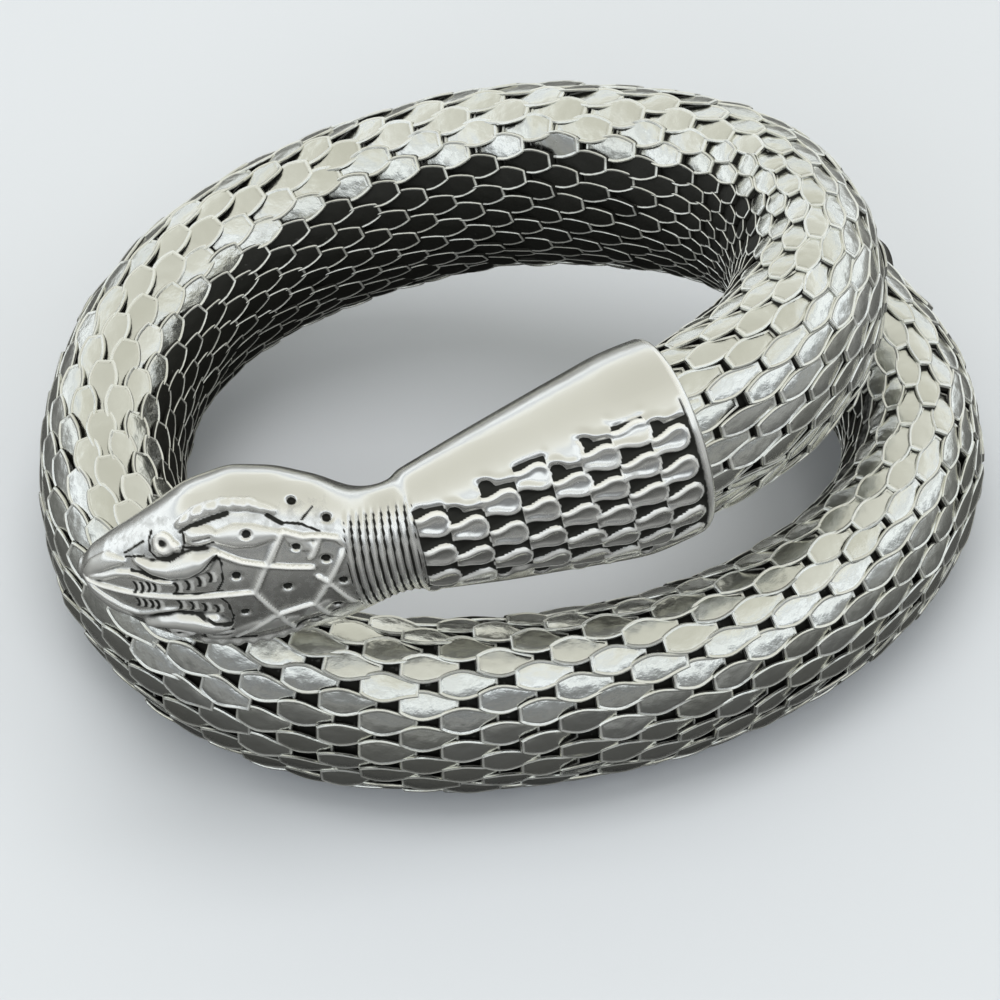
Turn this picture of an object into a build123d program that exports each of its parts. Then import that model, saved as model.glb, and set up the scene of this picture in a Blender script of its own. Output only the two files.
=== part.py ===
from build123d import *
import math
import os

# Snake bracelet: a coil of oval plated mesh tube, with a cast snake head and sleeve on one
# end and a plain tapered cap on the other. It lies on its side, so +Z is the wrist's axis,
# and the origin is the middle of the outline on the surface that it rests on. All in mm.

# Mesh tube
TUBE_TALL = 19.3
TUBE_DEEP = 13.9
TUBE_WALL = 1.2
MESH_IN_SLEEVE = 4.5
MESH_IN_CAP = 3.6
MESH_SPANS = 6
SPAN_SECTIONS = 8

# Coil
COIL_REACH = 35.5
COIL_GAP = 3.8
COIL_X = 0.3
COIL_Y = -0.1

# Sleeve, collar and head of the casting
MOUTH_TURN = -51.0
SLEEVE_LONG = 22.6
SLEEVE_WALL = 0.5
SLEEVE_DEPTH = 5.5
COLLAR_LONG = 4.2
NECK_WIDE = 10.6
NECK_DEEP = 8.0
HEAD_LONG = 24.0
HEAD_WIDE = 20.0
HEAD_DEEP = 12.4
SEAT_GAP = 0.15
SEAT_PAST = 5.0
SEAT_SECTIONS = 6

# Raised work on the casting, alike on both sides of its middle angle
MIDDLE_ANGLE = 13.0
RIDGE_COUNT = 9
RIDGE_TALL = 0.3
RIDGE_THICK = 0.26
SCALE_TALL = 0.5
SCALE_ROOT = 0.5
EYE_RADIUS = 1.55
EYE_ALONG = 0.66
EYE_ANGLE = 37.5
BROW_RADIUS = 0.8
LINE_RADIUS = 0.28

# Tail cap
CAP_WALL = 0.8
CAP_DEPTH = 4.2
CAP_LONG = 11.5
CAP_MOUTH_TURN = 389.0
CAP_SEAT_PAST = 2.0
CAP_SEAT_SECTIONS = 4

# The coil's route, a row every 30 degrees about the wrist's axis, blended smoothly:
# turn in degrees, reach as a share of COIL_REACH, rise and girth as shares of full size
ROUTE = [
    (-180, 1.840, 0.656, 0.960),
    (-150, 1.253, 0.754, 0.960),
    (-120, 0.700, 0.915, 0.960),
    (-90, 0.519, 0.937, 0.960),
    (-60, 0.539, 1.018, 0.925),
    (-30, 0.631, 1.011, 1.000),
    (0, 0.741, 0.976, 0.993),
    (30, 0.729, 0.846, 0.988),
    (60, 0.614, 0.731, 0.982),
    (90, 0.671, 0.544, 0.976),
    (120, 0.795, 0.313, 0.970),
    (150, 0.993, 0.129, 0.965),
    (180, 1.013, 0.000, 0.960),
    (210, 0.944, 0.000, 0.954),
    (240, 0.780, 0.000, 0.948),
    (270, 0.683, 0.000, 0.943),
    (300, 0.712, 0.000, 0.937),
    (330, 0.833, 0.000, 0.931),
    (360, 1.042, 0.025, 0.925),
    (390, 0.940, 0.060, 0.920),
    (420, 0.830, 0.060, 0.905),
    (450, 0.760, 0.060, 0.890),
]
ROW_STEP = ROUTE[1][0] - ROUTE[0][0]

# The sleeve: share of its length, share of the flare from neck to mouth, lift in mm
SLEEVE = [
    (-0.033, 1.0, 0.2),
    (0.07, 1.03, 0.2),
    (0.18, 1.03, 0.0),
    (0.45, 0.75, -0.3),
    (0.72, 0.46, -0.7),
    (1.0, 0.11, -0.95),
]

# The collar: share of its length, swell as a share of the neck's size, lift in mm
COLLAR = [(0.25, 0.03, -1.0), (0.5, 0.0, -1.0), (0.75, 0.03, -0.8)]

# The head: share of its length from the collar, width and depth as shares of the head's,
# how far it sits in towards the wrist, as a share of its depth, and lift in mm
HEAD = [
    (0.0, 0.59, 0.69, -0.03, -0.5),
    (0.10, 0.76, 0.78, 0.02, -0.2),
    (0.25, 0.89, 0.88, 0.07, 0.1),
    (0.42, 0.95, 0.95, 0.10, 0.0),
    (0.60, 0.875, 0.875, 0.08, -0.25),
    (0.78, 0.60, 0.66, 0.04, -0.4),
    (0.90, 0.37, 0.47, 0.02, -0.1),
    (0.97, 0.22, 0.31, 0.01, 0.0),
    (1.0, 0.12, 0.18, 0.0, 0.0),
]

# The sleeve's raised scales, a column each: length from the mouth to the round end, how long
# and how wide a scale is, the angle of one of its rows and the angle between rows
SCALES = [
    (20.1, 2.3, 2.7, -2.0, 28.0),
    (17.1, 2.9, 2.6, -14.0, 28.0),
    (13.9, 3.1, 2.4, 1.0, 24.5),
    (10.7, 3.1, 2.35, -9.0, 22.0),
    (7.6, 3.0, 2.25, 4.0, 20.5),
    (5.0, 2.5, 2.15, -4.0, 19.5),
    (2.5, 2.4, 2.05, 4.5, 18.5),
    (0.3, 2.1, 1.95, -5.0, 18.0),
]
SCALE_REACH = 2

# One scale: place along it from its middle and size of its two rounds and its waist,
# as shares of its length and its width
SCALE_BULB = (-0.13, 0.46)
SCALE_WAIST = (0.10, 0.44, 0.52)
SCALE_FOOT = (0.31, 0.30)

# The head's raised lines: share of the head's length, angle from the middle angle
BROW = [(0.61, 46), (0.525, 54), (0.44, 57), (0.34, 55), (0.26, 52), (0.20, 50)]
CHEEK = [(0.80, 19), (0.74, 22), (0.68, 20), (0.62, 20), (0.56, 23), (0.50, 29)]
PLATES = [
    [(0.39, 0), (0.30, 24), (0.26, 34)],
    [(0.39, 0), (0.30, -38)],
    [(0.22, -17), (0.08, 20)],
    [(0.22, -17), (0.34, -22), (0.48, -40)],
]
CENTRE_LINE = [(0.64, 0), (0.52, 0), (0.41, 0)]

# The tail cap: share of its length, share of the tube's size
CAP = [(0.0, 1.0), (0.42, 0.99), (0.62, 0.9), (0.8, 0.72), (0.92, 0.48), (1.0, 0.16)]


def route_row(turn):
    """The route's reach, rise and girth at a turn: a cubic blend of the four rows round it."""
    step = int((turn - ROUTE[0][0]) // ROW_STEP)
    step = min(max(step, 1), len(ROUTE) - 3)
    t = (turn - ROUTE[step][0]) / ROW_STEP
    weights = (
        (1 - t) ** 3 / 6,
        (3 * t**3 - 6 * t**2 + 4) / 6,
        (-3 * t**3 + 3 * t**2 + 3 * t + 1) / 6,
        t**3 / 6,
    )
    rows = ROUTE[step - 1 : step + 3]
    return [sum(w * row[c] for w, row in zip(weights, rows)) for c in (1, 2, 3)]


def route_point(turn):
    """A point of the coil's centre line."""
    reach, rise, girth = route_row(turn)
    angle = math.radians(turn)
    height = girth * TUBE_TALL / 2 + rise * (TUBE_TALL + COIL_GAP)
    return Vector(
        COIL_X + reach * COIL_REACH * math.cos(angle),
        COIL_Y + reach * COIL_REACH * math.sin(angle),
        height,
    )


def route_plane(turn):
    """A plane across the coil: X along the tall side of the tube, Z along the route."""
    along = (route_point(turn + 0.5) - route_point(turn - 0.5)).normalized()
    tall = (Vector(0, 0, 1) - along * along.Z).normalized()
    return Plane(origin=route_point(turn), x_dir=tall, z_dir=along)


def turn_at(start, length):
    """The turn reached by going a length along the route, back towards the head if negative."""
    step = 0.25 if length > 0 else -0.25
    turn = start
    gone = 0.0
    while gone < abs(length):
        gone += (route_point(turn + step) - route_point(turn)).length
        turn += step
    return turn


def oval(plane, tall, deep, inward=0.0, lift=0.0):
    """An oval section, set in towards the wrist and up by two distances."""
    return plane * Pos(lift, -inward, 0) * Ellipse(tall / 2, deep / 2)


def tube(start, end, sections, shrink):
    """A solid oval rod along the route, smaller than the tube all round by a distance."""
    faces = []
    for k in range(sections + 1):
        turn = start + (end - start) * k / sections
        girth = route_row(turn)[2]
        tall = girth * TUBE_TALL - 2 * shrink
        deep = girth * TUBE_DEEP - 2 * shrink
        faces.append(oval(route_plane(turn), tall, deep))
    return loft(faces, ruled=True)


def mesh_body():
    """The plated mesh tube, open inside, with both ends hidden in the sleeve and the cap."""
    spans = []
    first = turn_at(MOUTH_TURN, -MESH_IN_SLEEVE)
    last = turn_at(CAP_MOUTH_TURN, MESH_IN_CAP)
    sweep = (last - first) / MESH_SPANS
    for k in range(MESH_SPANS):
        start = first + k * sweep
        outside = tube(start, start + sweep, SPAN_SECTIONS, 0)
        spans.append(outside - tube(start, start + sweep, SPAN_SECTIONS, TUBE_WALL))
    return spans[0].fuse(*spans[1:])


def casting_sections():
    """The casting's sections from mouth to snout: length, width, depth, inward, lift."""
    girth = route_row(MOUTH_TURN)[2]
    mouth_wide = girth * TUBE_TALL + 2 * (SEAT_GAP + SLEEVE_WALL)
    mouth_deep = girth * TUBE_DEEP + 2 * (SEAT_GAP + SLEEVE_WALL)
    rows = []
    for share, flare, lift in SLEEVE:
        wide = NECK_WIDE + (mouth_wide - NECK_WIDE) * flare
        deep = NECK_DEEP + (mouth_deep - NECK_DEEP) * flare
        rows.append((share * SLEEVE_LONG, wide, deep, 0.0, lift))
    for share, swell, lift in COLLAR:
        along = SLEEVE_LONG + share * COLLAR_LONG
        rows.append((along, NECK_WIDE * (1 + swell), NECK_DEEP * (1 + swell), 0.0, lift))
    for share, wide, deep, inward, lift in HEAD:
        along = SLEEVE_LONG + COLLAR_LONG + share * HEAD_LONG
        rows.append((along, wide * HEAD_WIDE, deep * HEAD_DEEP, inward * HEAD_DEEP, lift))
    return rows


def casting_size(along):
    """The casting's width, depth, inward set and lift at a length from the mouth."""
    rows = casting_sections()
    for near, far in zip(rows, rows[1:]):
        if along <= far[0]:
            t = (along - near[0]) / (far[0] - near[0])
            return [a + (b - a) * t for a, b in zip(near[1:], far[1:])]
    return rows[-1][1:]


def skin_plane(along, angle):
    """A plane on the casting's skin, at an angle from the middle of the outer side."""
    wide, deep, inward, lift = casting_size(along)
    plane = route_plane(turn_at(MOUTH_TURN, -along))
    x = wide / 2 * math.sin(math.radians(angle))
    y = deep / 2 * math.cos(math.radians(angle))
    normal = Vector(x / (wide / 2) ** 2, y / (deep / 2) ** 2, 0).normalized()
    place = plane.from_local_coords(Vector(x + lift, y - inward, 0))
    out = (plane.from_local_coords(normal) - plane.origin).normalized()
    return Plane(origin=place, x_dir=plane.z_dir * -1, z_dir=out)


def ridge(k):
    """One fine ring of the collar."""
    along = SLEEVE_LONG + COLLAR_LONG * (k + 0.5) / RIDGE_COUNT
    faces = []
    for edge in (-0.5, 0.5):
        wide, deep, inward, lift = casting_size(along + edge * RIDGE_THICK)
        plane = route_plane(turn_at(MOUTH_TURN, -along - edge * RIDGE_THICK))
        faces.append(oval(plane, wide + 2 * RIDGE_TALL, deep + 2 * RIDGE_TALL, inward, lift))
    return loft(faces, ruled=True)


def keyhole(along, angle, long, wide):
    """A raised scale: round towards the mesh, with a narrower foot towards the head."""
    plane = skin_plane(along, angle)
    outline = Pos(SCALE_BULB[0] * long, 0) * Circle(wide * SCALE_BULB[1])
    outline += Pos(SCALE_WAIST[0] * long, 0) * Rectangle(long * SCALE_WAIST[1], wide * SCALE_WAIST[2])
    outline += Pos(SCALE_FOOT[0] * long, 0) * Circle(wide * SCALE_FOOT[1])
    return extrude(plane.offset(-SCALE_ROOT) * outline, SCALE_TALL + SCALE_ROOT)


def scales():
    """The field of raised scales on the outer side of the sleeve."""
    field = []
    for end, long, wide, angle, step in SCALES:
        for row in range(-SCALE_REACH, SCALE_REACH + 1):
            place = MIDDLE_ANGLE + angle + row * step
            field.append(keyhole(end + long / 2, place, long, wide))
    return field


def bar(places, radius):
    """A raised round bar, half sunk in the casting's skin, through (length, angle) places."""
    points = [skin_plane(along, angle).origin for along, angle in places]
    ends = [points[0]] + points[:-1], points[1:] + [points[-1]]
    faces = []
    for point, before, after in zip(points, *ends):
        faces.append(Plane(origin=point, z_dir=after - before) * Circle(radius))
    return loft(faces, ruled=True)


def head_bar(line, radius, side=1):
    """A raised bar along one of the head's lines, on one side of its middle angle."""
    start = SLEEVE_LONG + COLLAR_LONG
    places = [(start + share * HEAD_LONG, MIDDLE_ANGLE + side * angle) for share, angle in line]
    return bar(places, radius)


def head_relief():
    """Eyes, brows and cheeks on both sides of the head, and its plate lines."""
    pieces = []
    for side in (-1, 1):
        along = SLEEVE_LONG + COLLAR_LONG + EYE_ALONG * HEAD_LONG
        eye = skin_plane(along, MIDDLE_ANGLE + side * EYE_ANGLE).origin
        pieces.append(Pos(eye.X, eye.Y, eye.Z) * Sphere(EYE_RADIUS))
        pieces.append(head_bar(BROW, BROW_RADIUS, side))
        pieces.append(head_bar(CHEEK, BROW_RADIUS, side))
    for line in PLATES + [CENTRE_LINE]:
        pieces.append(head_bar(line, LINE_RADIUS))
    return pieces


def snake_head():
    """The casting: a flared sleeve, a ridged collar and the head, with raised work."""
    faces = []
    for along, wide, deep, inward, lift in casting_sections():
        plane = route_plane(turn_at(MOUTH_TURN, -along))
        faces.append(oval(plane, wide, deep, inward, lift))
    body = loft(faces[::-1], ruled=True)
    ridges = [ridge(k) for k in range(RIDGE_COUNT)]
    body = body.fuse(*ridges, *scales(), *head_relief())
    first = turn_at(MOUTH_TURN, -SLEEVE_DEPTH)
    return body - tube(first, MOUTH_TURN + SEAT_PAST, SEAT_SECTIONS, -SEAT_GAP)


def tail_cap():
    """The plain tapered cap on the tail, with a seat for the end of the mesh."""
    faces = []
    for share, size in CAP:
        turn = turn_at(CAP_MOUTH_TURN, share * CAP_LONG) if share else CAP_MOUTH_TURN
        girth = route_row(turn)[2]
        grow = 2 * (SEAT_GAP + CAP_WALL)
        tall = (girth * TUBE_TALL + grow) * size
        deep = (girth * TUBE_DEEP + grow) * size
        faces.append(oval(route_plane(turn), tall, deep))
    body = loft(faces, ruled=True)
    end = turn_at(CAP_MOUTH_TURN, CAP_DEPTH)
    return body - tube(CAP_MOUTH_TURN - CAP_SEAT_PAST, end, CAP_SEAT_SECTIONS, -SEAT_GAP)


os.makedirs("parts", exist_ok=True)
pieces = {"mesh_body": mesh_body(), "snake_head": snake_head(), "tail_cap": tail_cap()}
for name, piece in pieces.items():
    box = piece.bounding_box()
    print(name, len(piece.solids()), round(piece.volume), box.min, box.max)
    export_step(piece, f"parts/{name}.step")
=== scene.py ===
import math
import bmesh
import bpy
import numpy as np
from mathutils import Matrix, Vector


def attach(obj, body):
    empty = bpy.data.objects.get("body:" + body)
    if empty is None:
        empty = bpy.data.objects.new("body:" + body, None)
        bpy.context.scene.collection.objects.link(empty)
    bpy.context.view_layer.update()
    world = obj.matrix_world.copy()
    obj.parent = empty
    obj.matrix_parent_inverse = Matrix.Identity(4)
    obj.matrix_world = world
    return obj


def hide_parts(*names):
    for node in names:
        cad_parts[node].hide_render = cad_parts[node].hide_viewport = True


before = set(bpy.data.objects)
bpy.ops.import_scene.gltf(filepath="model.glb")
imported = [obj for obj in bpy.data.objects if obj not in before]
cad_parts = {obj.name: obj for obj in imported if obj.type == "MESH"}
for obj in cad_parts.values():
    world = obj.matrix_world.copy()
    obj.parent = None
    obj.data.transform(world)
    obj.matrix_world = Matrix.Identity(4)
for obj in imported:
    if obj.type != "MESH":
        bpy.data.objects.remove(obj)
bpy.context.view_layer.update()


# --- The coil's line ---
# The bracelet is one springy tube, laid a little over once round the wrist. Everything on
# it follows the line below: the cast head one way from the sleeve's mouth, the mesh the other.
# Sizes are in millimetres, and become metres where a mesh is placed.
MM = 0.001
TUBE_TALL = 19.3
TUBE_DEEP = 13.9
COIL_REACH = 35.5
COIL_GAP = 3.8
COIL_MIDDLE = (0.3, -0.1)
MOUTH_TURN = -51.0
CAP_MOUTH_TURN = 389.0
# turn in degrees, reach as a share of COIL_REACH, rise and girth as shares of full size
ROUTE = np.array([
    (-180, 1.840, 0.656, 0.960),
    (-150, 1.253, 0.754, 0.960),
    (-120, 0.700, 0.915, 0.960),
    (-90, 0.519, 0.937, 0.960),
    (-60, 0.539, 1.018, 0.925),
    (-30, 0.631, 1.011, 1.000),
    (0, 0.741, 0.976, 0.993),
    (30, 0.729, 0.846, 0.988),
    (60, 0.614, 0.731, 0.982),
    (90, 0.671, 0.544, 0.976),
    (120, 0.795, 0.313, 0.970),
    (150, 0.993, 0.129, 0.965),
    (180, 1.013, 0.000, 0.960),
    (210, 0.944, 0.000, 0.954),
    (240, 0.780, 0.000, 0.948),
    (270, 0.683, 0.000, 0.943),
    (300, 0.712, 0.000, 0.937),
    (330, 0.833, 0.000, 0.931),
    (360, 1.042, 0.025, 0.925),
    (390, 0.940, 0.060, 0.920),
    (420, 0.830, 0.060, 0.905),
    (450, 0.760, 0.060, 0.890),
])


def route_row(turn):
    """The line's reach, rise and girth at each turn: a cubic blend of the four rows round it."""
    step = np.clip(((turn - ROUTE[0, 0]) // 30).astype(int), 1, len(ROUTE) - 3)
    t = (turn - ROUTE[step, 0]) / 30
    weights = [(1 - t) ** 3, 3 * t**3 - 6 * t**2 + 4, -3 * t**3 + 3 * t**2 + 3 * t + 1, t**3]
    blended = sum(w[..., None] / 6 * ROUTE[step - 1 + k, 1:] for k, w in enumerate(weights))
    return np.moveaxis(blended, -1, 0)


def route_point(turn):
    reach, rise, girth = route_row(turn)
    angle = np.radians(turn)
    return np.stack([
        COIL_MIDDLE[0] + reach * COIL_REACH * np.cos(angle),
        COIL_MIDDLE[1] + reach * COIL_REACH * np.sin(angle),
        girth * TUBE_TALL / 2 + rise * (TUBE_TALL + COIL_GAP),
    ], -1)


def unit(vectors):
    return vectors / np.linalg.norm(vectors, axis=-1, keepdims=True)


def route_frame(turn):
    """The line's point, its tall and outward directions, and the way along it, tailwards."""
    along = unit(route_point(turn + 0.5) - route_point(turn - 0.5))
    tall = unit(np.array([0.0, 0.0, 1.0]) - along * along[..., 2:])
    return route_point(turn), tall, np.cross(along, tall), along


TURN_STEP = 0.25
TURNS = np.arange(ROUTE[0, 0] + 1, ROUTE[-1, 0] - 1, TURN_STEP)
LENGTHS = np.concatenate([[0], np.cumsum(np.linalg.norm(np.diff(route_point(TURNS), axis=0), axis=1))])
LENGTHS -= np.interp(MOUTH_TURN, TURNS, LENGTHS)


def turn_at(length):
    """The turn at a length from the sleeve's mouth, tailwards, or towards the head if negative."""
    return np.interp(length, LENGTHS, TURNS)


def oval_skin(turn, angle, tall_size, deep_size, inward=0.0, lift=0.0):
    """Points and normals on an oval round the line. Angle 0 is outwards, 90 is upwards."""
    point, tall, out, along = route_frame(turn)
    across = np.sin(np.radians(angle))
    outward = np.cos(np.radians(angle))
    place = point + tall * (tall_size / 2 * across + lift)[..., None]
    place = place + out * (deep_size / 2 * outward - inward)[..., None]
    normal = tall * (across / tall_size)[..., None] + out * (outward / deep_size)[..., None]
    return place, unit(normal)


def oval_distances(tall_size, deep_size, middle, count=1441):
    """Distances round an oval's skin from its middle line, and the angles that they are at."""
    angles = np.linspace(middle - 180, middle + 180, count)
    x = tall_size / 2 * np.sin(np.radians(angles))
    y = deep_size / 2 * np.cos(np.radians(angles))
    gone = np.concatenate([[0], np.cumsum(np.hypot(np.diff(x), np.diff(y)))])
    return gone - gone[count // 2], angles


def rounded(away, radius):
    """The profile of a round bar half sunk in the skin, 1 at its middle."""
    return np.sqrt(np.clip(1 - (away / radius) ** 2, 0, 1))


def ramp(value, low, high):
    t = np.clip((value - low) / (high - low), 0, 1)
    return t * t * (3 - 2 * t)


# --- Finishes that several pieces share ---
# All of it is plated silver: polished where it is touched, with black oxide left in every
# recess. The group mixes the two by a mask, which on the links also carries painted shade,
# and adds the faint clouding of handled metal.
CLOUDS_PER_METRE = 240.0
GRIME_PER_METRE = 1500.0
SCUFFS_PER_METRE = 5200.0
DENTS_PER_METRE = 650.0
CLOUDED_SILVER = (0.60, 0.585, 0.51, 1.0)
OXIDE_ROUGHER = 0.38
OXIDE_LESS_METAL = 0.55
SATIN = (0.18, 0.30)
SATIN_LESS_METAL = 0.65


def silver_group():
    group = bpy.data.node_groups.new("silver_and_oxide", "ShaderNodeTree")
    sockets = (
        ("Silver", "NodeSocketColor", (0.85, 0.84, 0.80, 1.0)),
        ("Oxide", "NodeSocketColor", (0.016, 0.016, 0.013, 1.0)),
        ("Stain", "NodeSocketFloat", 0.0),
        ("Clouding", "NodeSocketFloat", 0.2),
        ("Polish", "NodeSocketFloat", 0.14),
    )
    for name, kind, value in sockets:
        socket = group.interface.new_socket(name, in_out="INPUT", socket_type=kind)
        socket.default_value = value
    for name, kind in (("Color", "NodeSocketColor"), ("Roughness", "NodeSocketFloat"),
                       ("Metallic", "NodeSocketFloat"), ("Height", "NodeSocketFloat")):
        group.interface.new_socket(name, in_out="OUTPUT", socket_type=kind)
    nodes, links = group.nodes, group.links
    given = nodes.new("NodeGroupInput")
    result = nodes.new("NodeGroupOutput")
    place = nodes.new("ShaderNodeTexCoord")

    def noise(scale, detail):
        node = nodes.new("ShaderNodeTexNoise")
        node.inputs["Scale"].default_value = scale
        node.inputs["Detail"].default_value = detail
        links.new(place.outputs["Object"], node.inputs["Vector"])
        return node.outputs["Fac"]

    def maths(kind, a, b, clamp=False):
        node = nodes.new("ShaderNodeMath")
        node.operation = kind
        node.use_clamp = clamp
        for socket, value in zip(node.inputs, (a, b)):
            if isinstance(value, float):
                socket.default_value = value
            else:
                links.new(value, socket)
        return node.outputs[0]

    def mix(amount, a, b):
        node = nodes.new("ShaderNodeMix")
        node.data_type = "RGBA"
        links.new(amount, node.inputs["Factor"])
        for socket, value in ((node.inputs["A"], a), (node.inputs["B"], b)):
            if isinstance(value, tuple):
                socket.default_value = value
            else:
                links.new(value, socket)
        return node.outputs["Result"]

    clouds = noise(CLOUDS_PER_METRE, 3.0)
    grime = noise(GRIME_PER_METRE, 4.0)
    scuffs = noise(SCUFFS_PER_METRE, 2.0)
    dents = noise(DENTS_PER_METRE, 1.0)
    cloudy = maths("MULTIPLY", clouds, given.outputs["Clouding"])
    plated = mix(cloudy, given.outputs["Silver"], CLOUDED_SILVER)
    ragged = maths("ADD", given.outputs["Stain"], maths("MULTIPLY", maths("SUBTRACT", grime, 0.5), 0.5))
    black = maths("MULTIPLY", maths("SUBTRACT", ragged, 0.28), 2.4, clamp=True)
    links.new(mix(black, plated, given.outputs["Oxide"]), result.inputs["Color"])
    worn = maths("ADD", given.outputs["Polish"], maths("MULTIPLY", clouds, 0.10))
    links.new(maths("ADD", worn, maths("MULTIPLY", black, OXIDE_ROUGHER)), result.inputs["Roughness"])
    links.new(maths("SUBTRACT", 1.0, maths("MULTIPLY", black, OXIDE_LESS_METAL)), result.inputs["Metallic"])
    rough = maths("ADD", maths("MULTIPLY", scuffs, 0.3), maths("MULTIPLY", grime, 0.7))
    links.new(maths("ADD", rough, maths("MULTIPLY", dents, 3.0)), result.inputs["Height"])
    return group


SILVER_AND_OXIDE = silver_group()


def silver_material(name, stain_and_shade_attribute=None, raised_attribute=None, bump=0.06, depth=0.05, **values):
    """A plated silver whose oxide mask, with painted shade on the links, is an attribute of the piece, with satin
    raised work.
    """
    material = bpy.data.materials.new(name)
    material.use_nodes = True
    nodes, links = material.node_tree.nodes, material.node_tree.links
    shader = nodes["Principled BSDF"]
    silver = nodes.new("ShaderNodeGroup")
    silver.name = "silver"
    silver.node_tree = SILVER_AND_OXIDE
    for socket, value in values.items():
        silver.inputs[socket].default_value = value
    if stain_and_shade_attribute:
        stain = nodes.new("ShaderNodeAttribute")
        stain.attribute_name = stain_and_shade_attribute
        links.new(stain.outputs["Fac"], silver.inputs["Stain"])
    relief = nodes.new("ShaderNodeBump")
    relief.inputs["Strength"].default_value = bump
    relief.inputs["Distance"].default_value = depth * MM
    links.new(silver.outputs["Height"], relief.inputs["Height"])
    links.new(relief.outputs["Normal"], shader.inputs["Normal"])
    links.new(silver.outputs["Color"], shader.inputs["Base Color"])
    links.new(silver.outputs["Roughness"], shader.inputs["Roughness"])
    links.new(silver.outputs["Metallic"], shader.inputs["Metallic"])
    if raised_attribute:
        raised = nodes.new("ShaderNodeAttribute")
        raised.attribute_name = raised_attribute
        worn = nodes.new("ShaderNodeMapRange")
        worn.inputs["To Min"].default_value = SATIN[0]
        worn.inputs["To Max"].default_value = SATIN[1]
        links.new(raised.outputs["Fac"], worn.inputs["Value"])
        links.new(worn.outputs["Result"], silver.inputs["Polish"])
        frost = nodes.new("ShaderNodeMath")
        frost.operation = "MULTIPLY_ADD"
        frost.inputs[1].default_value = -SATIN_LESS_METAL
        links.new(raised.outputs["Fac"], frost.inputs[0])
        links.new(silver.outputs["Metallic"], frost.inputs[2])
        links.new(frost.outputs["Value"], shader.inputs["Metallic"])
    return material


# --- Mesh body: the stamped links ---
# Some 1,470 thin plated links hang in each other in 32 rows along the tube. Each is a drop-shaped
# plate with a bright raised rim and a turned-down tab on its head side. Its waist slips under the
# next plates, and plates of neighbouring rows touch, so only small square gaps stay open.
LINK_THICK = 0.22
RIM_BEVEL = (0.11, 0.09)
RIM_WIDE = 0.19
RIM_FALL = 0.06
DOME = (0.20, 0.035)
BOW = 0.028
TAB_LONG = 0.1
TAB_DROP = 0.3
LINK_ROWS = 32
ROW_CROWDING = 0.35
LINK_SINK = 0.55
LINK_PITCH = 1.62
# painted shade over the links on the wrist side: how dark it is, and the angles over which it comes in
WRIST_SHADE = 0.8
WRIST_SIDE = (120, 138)
CROWDED_FROM = 110
CROWDED_TO = 160
INTO_SLEEVE = 3.5
INTO_CAP = 2.5
# how far a plate reaches undrawn, the gap past it, and how much it is drawn out at most
LINK_REACH = 4.9
LINK_GAP = 0.35
MOST_DRAWN = 0.5
# how far crowded plates still lap, and how short they are cut at most
LINK_LAP = 0.5
SHORTEST_LINK = 0.68
LEAST_SPACING = 1.6
TILT_DRIFT = 0.05
LEAN_DRIFT = 0.08
FLAT_BELOW = 24
RIM_SATIN = 0.7
# on the wrist side the painted shade spares a rim only this far along the plate
RIM_UNSHADED_TO = 0.7
LINK_SEED = 11
LINK_TONES = (0.79, 0.795, 0.735, 1.0), (0.90, 0.91, 0.875, 1.0)
# place along a link from its widest part, half its width there
LINK_OUTLINE = [(-1.92, 0.66), (-1.75, 0.80), (-1.4, 0.97), (-0.9, 1.14), (-0.3, 1.27), (0.15, 1.29), (0.65, 1.23),
                (1.15, 1.10), (1.65, 0.95), (2.3, 0.78), (3.2, 0.62)]
LINK_LONG = LINK_OUTLINE[-1][0] - LINK_OUTLINE[0][0]
# length from the mouth, spacing of the links along a row
LINK_SPACING = np.array([(-4, 5.0), (5, 5.0), (8, 4.6), (11, 4.25), (15, 3.65), (33, 3.65), (48, 5.3), (60, 5.75),
                         (85, 5.1), (120, 5.4), (140, 6.2), (180, 6.2), (200, 4.8), (212, 4.5), (232, 4.6)])
# length from the mouth, how far the links' waists are drawn out where the coil's bend opens them
LINK_PULL = np.array([(-4, 0.5), (20, 0.5), (34, 1.0), (124, 1.0), (138, 0.0)])
# length from the mouth, how far a link's waist lies under the next link
LINK_STEP = np.array([(-4, 0.26), (28, 0.26), (45, 0.42), (124, 0.42), (142, 0.22), (190, 0.22), (210, 0.30)])
# length from the mouth, how far the links are cut short where they crowd together
LINK_CUT = np.array([(-4, 1.0), (30, 1.0), (44, 0.0)])
# length from the mouth, how much of its row's room a plate fills
LINK_FILL = np.array([(-4, 0.86), (10, 0.78), (32, 0.78), (46, 1.0), (172, 1.0), (190, 0.92), (212, 0.84)])
# length from the mouth, rows that the pattern has turned round the tube
ROW_TURN = np.array([(130, 0.0), (180, 1.6)])


def choose(test, faces=False):
    """In edit mode, selects only the points or faces that pass a test."""
    mesh = bmesh.from_edit_mesh(bpy.context.object.data)
    bpy.ops.mesh.select_mode(type="FACE" if faces else "VERT")
    bpy.ops.mesh.select_all(action="DESELECT")
    for item in mesh.faces if faces else mesh.verts:
        item.select_set(bool(test(item)))
    mesh.select_flush_mode()
    bmesh.update_edit_mesh(bpy.context.object.data)


def push(x=0.0, y=0.0, z=0.0):
    bpy.ops.mesh.extrude_region_move(TRANSFORM_OT_translate={"value": (x * MM, y * MM, z * MM)})


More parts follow.
